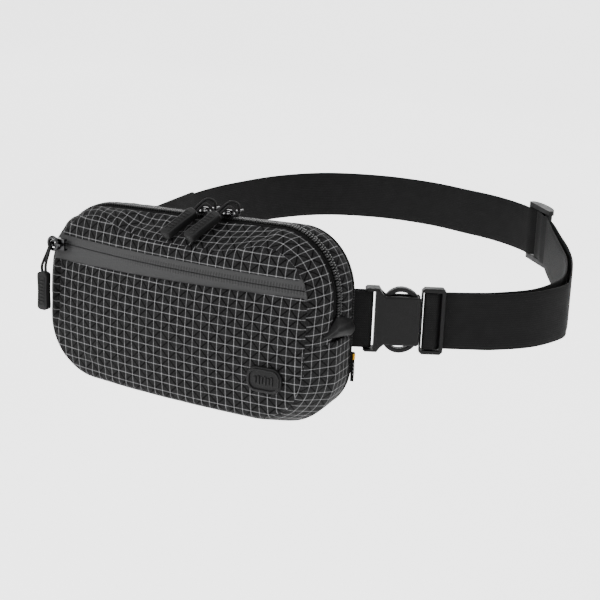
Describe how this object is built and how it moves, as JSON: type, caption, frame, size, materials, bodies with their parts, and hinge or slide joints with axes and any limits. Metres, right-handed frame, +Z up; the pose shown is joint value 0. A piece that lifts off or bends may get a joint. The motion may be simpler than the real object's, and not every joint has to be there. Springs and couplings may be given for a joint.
{
  "type": "waist bag",
  "caption": "Small zipped waist bag with a front zip pocket on an adjustable webbing belt with a side-release buckle and a tri-glide.",
  "frame": {"origin": "middle of the back panel's outer face", "axes": "+X along the bag to the buckle side, +Y from the front panel back to the wearer, +Z up"},
  "size_m": [0.3614, 0.4185, 0.1477],
  "materials": {
    "fabric": "woven ripstop",
    "coated": "matte laminated",
    "webbing": "ribbed webbing",
    "plastic": "satin moulded",
    "rubber": "matte moulded",
    "metal": "dark coated",
    "coil": "satin",
    "cord": "braided"
  },
  "bodies": {
    "bag": {"front_panel_lower": "fabric", "front_panel_upper": "fabric", "pocket_zip_tape_lower": "coated", "pocket_zip_tape_upper": "coated", "pocket_zip_coil": "coil", "pocket_lining": "fabric", "gusset_front": "fabric", "gusset_rear": "fabric", "main_zip_tape_front": "webbing", "main_zip_tape_rear": "webbing", "main_zip_coil_front": "coil", "main_zip_coil_rear": "coil", "bottom_gusset": "fabric", "back_panel": "fabric", "zip_end_tab_left": "webbing", "zip_end_tab_right": "webbing", "badge": "rubber", "side_label": "webbing", "left_wing": "webbing", "right_wing": "webbing", "belt_rear": "webbing", "buckle_female": "plastic"},
    "male": {"buckle_male": "plastic", "belt_fold": "webbing", "belt_outer": "webbing", "belt_inner": "webbing", "belt_back": "webbing"},
    "arm_upper": {"buckle_arm_upper": "plastic"},
    "arm_lower": {"buckle_arm_lower": "plastic"},
    "glide": {"triglide": "plastic", "belt_threaded": "webbing", "belt_sewn_end": "webbing"},
    "slider_left": {"main_slider_left": "metal"},
    "tab_left": {"main_tab_left": "metal"},
    "link_left": {"main_cord_left": "cord"},
    "pull_left": {"main_grip_left": "rubber"},
    "slider_right": {"main_slider_right": "metal"},
    "tab_right": {"main_tab_right": "metal"},
    "link_right": {"main_cord_right": "cord"},
    "pull_right": {"main_grip_right": "rubber"},
    "pocket_slider_body": {"pocket_slider": "metal"},
    "pocket_tab_body": {"pocket_tab": "metal"},
    "pocket_pull": {"pocket_cord": "cord", "pocket_grip": "rubber"}
  },
  "joints": [
    {"name": "buckle_release", "type": "slide", "parent": "bag", "child": "male", "axis": [0.8704, 0.4924, 0], "range_m": [0, 0.036], "deforming": ["belt_rear"]},
    {"name": "buckle_arm_upper_squeeze", "type": "hinge", "parent": "male", "child": "arm_upper", "pos_m": [0.14651, 0.02836, 0.0133], "axis": [0.4924, -0.8704, 0], "range_deg": [0, 7], "stiffness_Nm_per_rad": 0.4},
    {"name": "buckle_arm_lower_squeeze", "type": "hinge", "parent": "male", "child": "arm_lower", "pos_m": [0.14651, 0.02836, -0.0147], "axis": [-0.4924, 0.8704, 0], "range_deg": [0, 7], "stiffness_Nm_per_rad": 0.4},
    {"name": "triglide_travel", "type": "hinge", "parent": "male", "child": "glide", "pos_m": [0.022, 0.204, -0.0007], "axis": [0, 0, 1], "range_deg": [0, 15], "deforming": ["belt_threaded", "belt_back"]},
    {"name": "main_slider_left_run", "type": "slide", "parent": "bag", "child": "slider_left", "axis": [0.9988, 0, 0.0499], "range_m": [-0.022, 0]},
    {"name": "main_tab_left_lift", "type": "hinge", "parent": "slider_left", "child": "tab_left", "pos_m": [0.007, -0.0232, 0.0647], "axis": [0, -1, 0], "range_deg": [0, 75]},
    {"name": "main_pull_left_hang", "type": "hinge", "parent": "tab_left", "child": "link_left", "pos_m": [0.01473, -0.0232, 0.06677], "axis": [0, -1, 0], "range_deg": [-75, 0], "deforming": ["main_cord_left"]},
    {"name": "main_grip_left_lift", "type": "hinge", "parent": "link_left", "child": "pull_left", "pos_m": [0.01473, -0.0232, 0.06677], "axis": [-1, 0, 0], "range_deg": [0, 100]},
    {"name": "main_slider_right_run", "type": "slide", "parent": "bag", "child": "slider_right", "axis": [0.9988, 0, 0.0499], "range_m": [0, 0.035]},
    {"name": "main_tab_right_lift", "type": "hinge", "parent": "slider_right", "child": "tab_right", "pos_m": [0.026, -0.0232, 0.06565], "axis": [0, -1, 0], "range_deg": [0, 75]},
    {"name": "main_pull_right_hang", "type": "hinge", "parent": "tab_right", "child": "link_right", "pos_m": [0.03373, -0.0232, 0.06772], "axis": [0, -1, 0], "range_deg": [-75, 0], "deforming": ["main_cord_right"]},
    {"name": "main_grip_right_lift", "type": "hinge", "parent": "link_right", "child": "pull_right", "pos_m": [0.03373, -0.0232, 0.06772], "axis": [-1, 0, 0], "range_deg": [0, 100]},
    {"name": "pocket_slider_run", "type": "hinge", "parent": "bag", "child": "pocket_slider_body", "pos_m": [0, 0.58286, 0.0295], "axis": [0, 0, 1], "range_deg": [0, 16]},
    {"name": "pocket_tab_lift", "type": "hinge", "parent": "pocket_slider_body", "child": "pocket_tab_body", "pos_m": [-0.09472, -0.05504, 0.0295], "axis": [0, 0, 1], "range_deg": [0, 90]},
    {"name": "pocket_grip_swing", "type": "hinge", "parent": "pocket_tab_body", "child": "pocket_pull", "pos_m": [-0.10263, -0.05387, 0.0295], "axis": [0, 1, 0], "range_deg": [0, 75], "deforming": ["pocket_cord"]}
  ],
  "couplings": [
    {"joint": "main_pull_left_hang", "follows": "main_tab_left_lift", "ratio": -1},
    {"joint": "main_pull_right_hang", "follows": "main_tab_right_lift", "ratio": -1}
  ]
}
